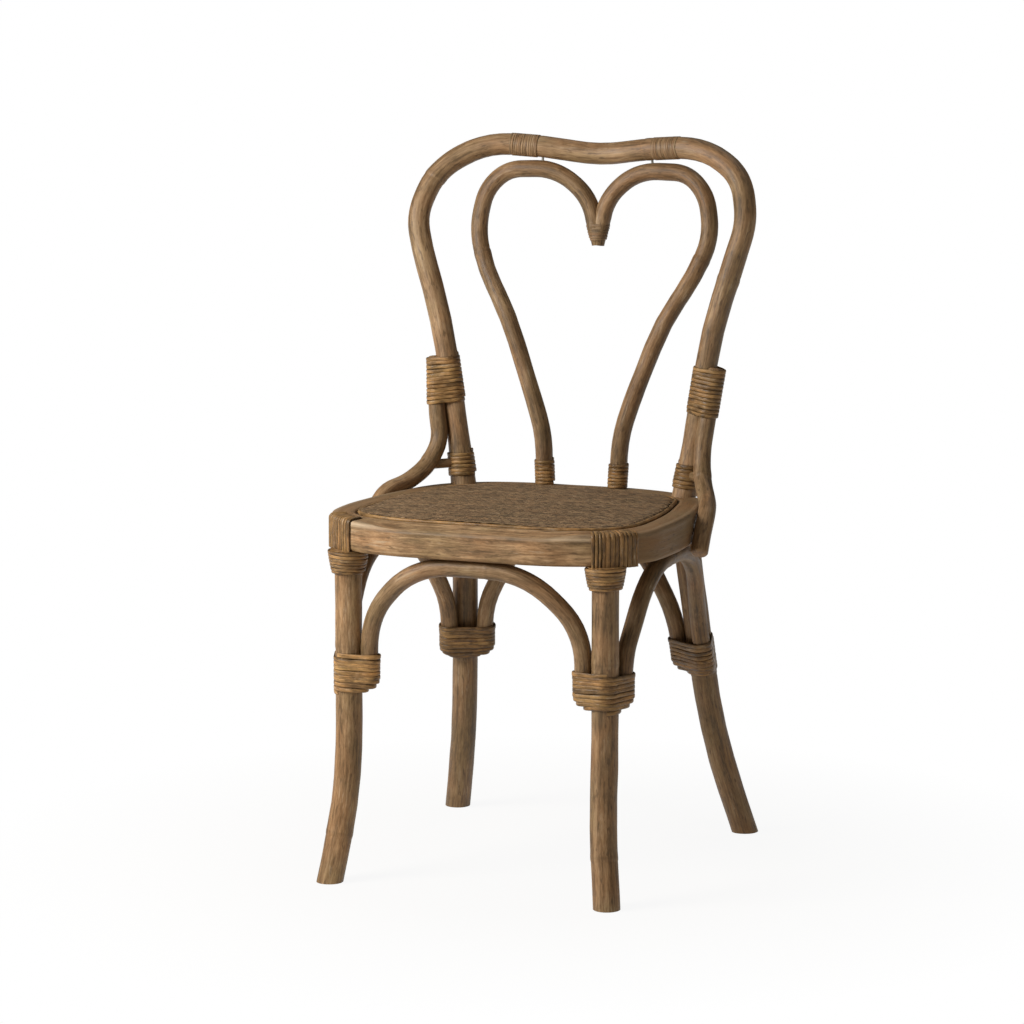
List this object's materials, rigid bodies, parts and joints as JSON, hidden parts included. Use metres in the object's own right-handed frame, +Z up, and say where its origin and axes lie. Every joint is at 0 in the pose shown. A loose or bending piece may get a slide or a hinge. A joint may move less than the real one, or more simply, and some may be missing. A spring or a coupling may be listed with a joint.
{
  "type": "side chair",
  "caption": "Bent cane side chair with a hoop back round a heart, a woven cane seat, arches under the rim and splayed legs bound with cane.",
  "frame": {"origin": "on the floor, below the middle of the chair's bounding box", "axes": "+Z up, the sitter faces -Y, +X to the right of someone in front of the chair"},
  "size_m": [0.471, 0.4832, 0.9005],
  "materials": {
    "cane_pole": "weathered",
    "seat_rim": "weathered",
    "woven_cane": "matte",
    "cane_peel": "matte",
    "hidden_wood": "matte",
    "steel": "dull"
  },
  "bodies": {
    "root": {"arch_end_pins": "steel", "arch_screws": "steel", "back_hoop": "cane_pole", "brace_binding_left": "cane_peel", "brace_binding_right": "cane_peel", "brace_peg_left": "cane_pole", "brace_peg_right": "cane_pole", "brace_screws": "steel", "collar_binding_left": "cane_peel", "collar_binding_right": "cane_peel", "corner_straps_left": "cane_peel", "corner_straps_right": "cane_peel", "frame_screws": "steel", "front_arch": "cane_pole", "front_leg_binding_left": "cane_peel", "front_leg_binding_right": "cane_peel", "front_leg_dowels": "hidden_wood", "front_leg_left": "cane_pole", "front_leg_right": "cane_pole", "heart_dowels": "hidden_wood", "heart_foot_binding_left": "cane_peel", "heart_foot_binding_right": "cane_peel", "heart_lobe_left": "cane_pole", "heart_lobe_right": "cane_pole", "heart_point_binding": "cane_peel", "heart_point_pin": "steel", "heart_top_pins": "steel", "hoop_foot_binding_left": "cane_peel", "hoop_foot_binding_right": "cane_peel", "hoop_top_binding_left": "cane_peel", "hoop_top_binding_right": "cane_peel", "leg_collar_left": "cane_peel", "leg_collar_right": "cane_peel", "rail_dowels": "hidden_wood", "rear_arch": "cane_pole", "rear_leg_binding_left": "cane_peel", "rear_leg_binding_right": "cane_peel", "rear_leg_dowels": "hidden_wood", "rear_leg_left": "cane_pole", "rear_leg_right": "cane_pole", "seat_bead": "cane_peel", "seat_frame": "hidden_wood", "seat_front_rail": "seat_rim", "seat_panel": "woven_cane", "seat_rim": "seat_rim", "side_arch_left": "cane_pole", "side_arch_right": "cane_pole", "side_brace_left": "cane_pole", "side_brace_right": "cane_pole"}
  },
  "joints": []
}
